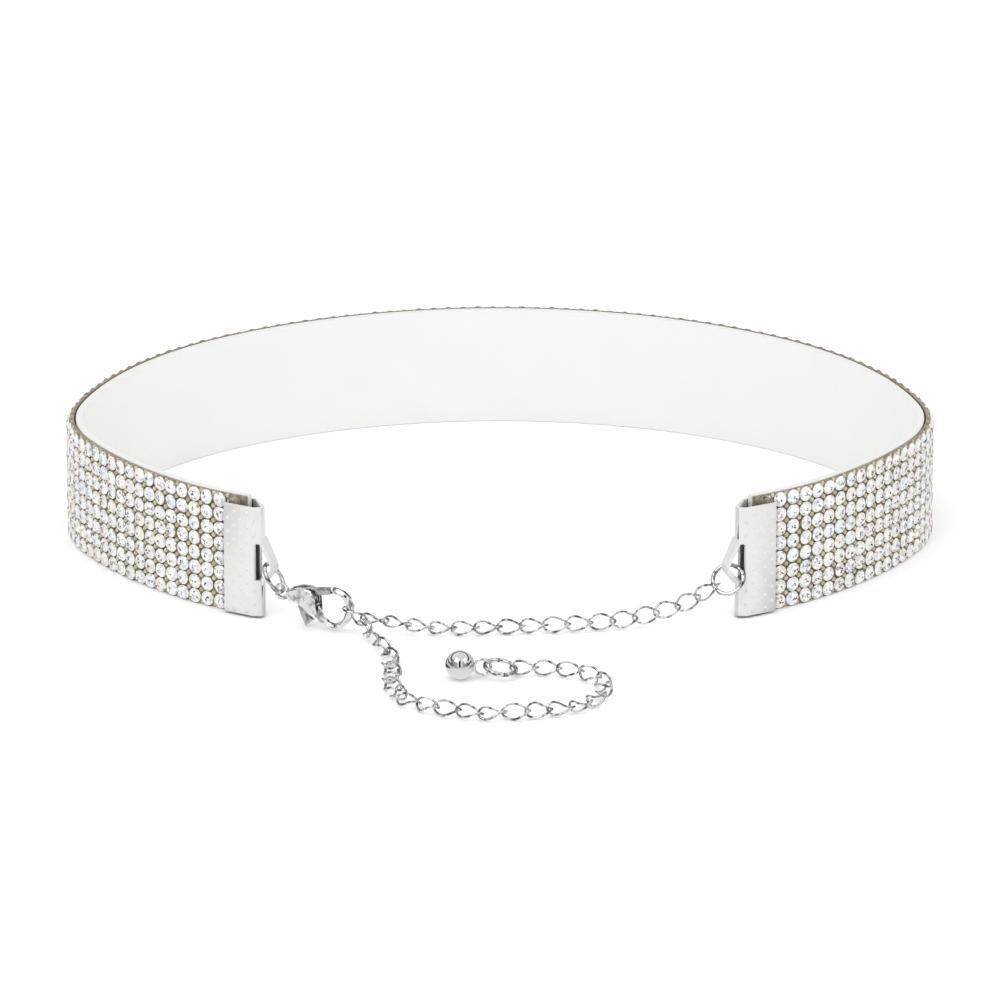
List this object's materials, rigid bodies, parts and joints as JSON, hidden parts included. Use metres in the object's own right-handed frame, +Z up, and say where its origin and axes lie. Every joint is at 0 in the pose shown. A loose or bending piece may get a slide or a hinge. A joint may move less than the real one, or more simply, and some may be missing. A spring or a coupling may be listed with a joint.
{
  "type": "choker necklace",
  "caption": "Wide rhinestone choker with folded end caps, a lobster clasp and an extender chain with a ball drop, standing on its lower edge with the clasp closed on the chain.",
  "frame": {"origin": "middle of the necklace's footprint, on the surface that it stands on", "axes": "+Z up across the band's width, +Y to the back of the band, -Y to the closure at the front, +X to the right seen from the closure"},
  "size_m": [0.1202, 0.1216, 0.0168],
  "materials": {
    "backing": "matt white lining",
    "stones": "clear foil-backed cut stones in a beige mesh",
    "cap_metal": "silver plating with a fine raised dot pattern",
    "silver": "polished silver plating"
  },
  "bodies": {
    "necklace": {"band_backing": "backing", "stone_strip": "stones", "cap_left": "cap_metal", "cap_right": "cap_metal", "jump_ring_left": "silver", "jump_ring_right": "silver", "clasp_body": "silver", "link_01": "silver", "link_02": "silver", "link_03": "silver", "link_04": "silver", "link_05": "silver", "link_06": "silver", "link_07": "silver", "link_08": "silver", "link_09": "silver", "link_10": "silver", "link_11": "silver", "link_12": "silver", "link_13": "silver", "link_14": "silver", "link_15": "silver", "link_16": "silver", "link_17": "silver", "link_18": "silver", "link_19": "silver", "link_20": "silver", "link_21": "silver", "link_22": "silver", "link_23": "silver", "link_24": "silver", "link_25": "silver", "link_26": "silver", "link_27": "silver", "link_28": "silver", "link_29": "silver", "link_30": "silver", "link_31": "silver", "link_32": "silver", "link_33": "silver", "link_34": "silver", "link_35": "silver", "link_36": "silver", "link_37": "silver", "link_38": "silver", "link_39": "silver", "link_40": "silver", "link_41": "silver", "link_42": "silver", "jump_ring_end": "silver", "ball_drop": "silver"},
    "lever": {"clasp_lever": "silver"}
  },
  "joints": [
    {"name": "clasp_lever_hinge", "type": "hinge", "parent": "necklace", "child": "lever", "pos_m": [-0.0268, -0.024, 0.00473], "axis": [0.4695, 0.8829, 0], "range_deg": [0, 25], "stiffness_Nm_per_rad": 0.002, "springref_deg": -20.05}
  ]
}
